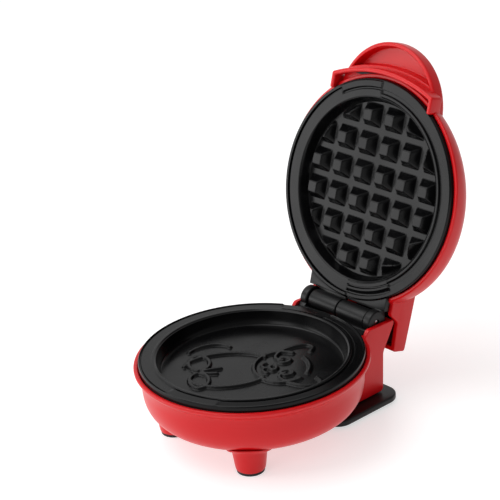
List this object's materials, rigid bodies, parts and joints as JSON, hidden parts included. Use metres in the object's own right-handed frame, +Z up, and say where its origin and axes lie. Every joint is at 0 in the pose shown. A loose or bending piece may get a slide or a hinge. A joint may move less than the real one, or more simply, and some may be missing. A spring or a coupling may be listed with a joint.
{
  "type": "waffle maker",
  "caption": "Compact round clamshell waffle maker: a red bowl on legs holds a round cooking plate, and a hinged domed lid carries a studded plate and a handle.",
  "frame": {"origin": "middle of the footprint with the lid open, on the surface the feet stand on", "axes": "-Y front, where the handle closes down; +X along the hinge axis; +Z up"},
  "size_m": [0.1224, 0.1826, 0.1805],
  "materials": {
    "housing_red": "moulded, semi-gloss red",
    "frame_black": "moulded, satin black",
    "nonstick_plate": "cast, black non-stick coating",
    "heater_tube": "sheathed tube, heat darkened",
    "reflector_sheet": "pressed sheet",
    "pressed_steel": "zinc plated",
    "rubber_pad": "moulded",
    "terminal_body": "moulded, cream",
    "lens_amber": "translucent amber",
    "lamp_glass": "clear"
  },
  "bodies": {
    "base": {"base_housing": "housing_red", "base_inner_frame": "frame_black", "lower_plate": "nonstick_plate", "lower_reflector": "reflector_sheet", "lower_element": "heater_tube", "lower_clamp_1": "pressed_steel", "lower_clamp_2": "pressed_steel", "lower_clamp_3": "pressed_steel", "plate_screw_1": "pressed_steel", "plate_screw_2": "pressed_steel", "plate_screw_3": "pressed_steel", "thermostat": "pressed_steel", "thermal_fuse": "pressed_steel", "terminal_block": "terminal_body", "cord_gland": "frame_black", "cord_clamp": "frame_black", "rear_foot_plate": "frame_black", "foot_screw_left": "pressed_steel", "foot_screw_right": "pressed_steel", "front_pad_left": "rubber_pad", "front_pad_right": "rubber_pad", "rear_pad_left": "rubber_pad", "rear_pad_right": "rubber_pad", "hinge_pin": "pressed_steel"},
    "lid": {"lid_housing": "housing_red", "lid_inner_frame": "frame_black", "upper_plate": "nonstick_plate", "upper_reflector": "reflector_sheet", "upper_element": "heater_tube", "upper_clamp_1": "pressed_steel", "upper_clamp_2": "pressed_steel", "upper_clamp_3": "pressed_steel", "lid_screw_1": "pressed_steel", "lid_screw_2": "pressed_steel", "lid_screw_3": "pressed_steel", "indicator_lens": "lens_amber", "indicator_lamp": "lamp_glass"}
  },
  "joints": [
    {"name": "lid_hinge", "type": "hinge", "parent": "base", "child": "lid", "pos_m": [0, 0.03595, 0.0446], "axis": [1, 0, 0], "range_deg": [0, 107]}
  ]
}
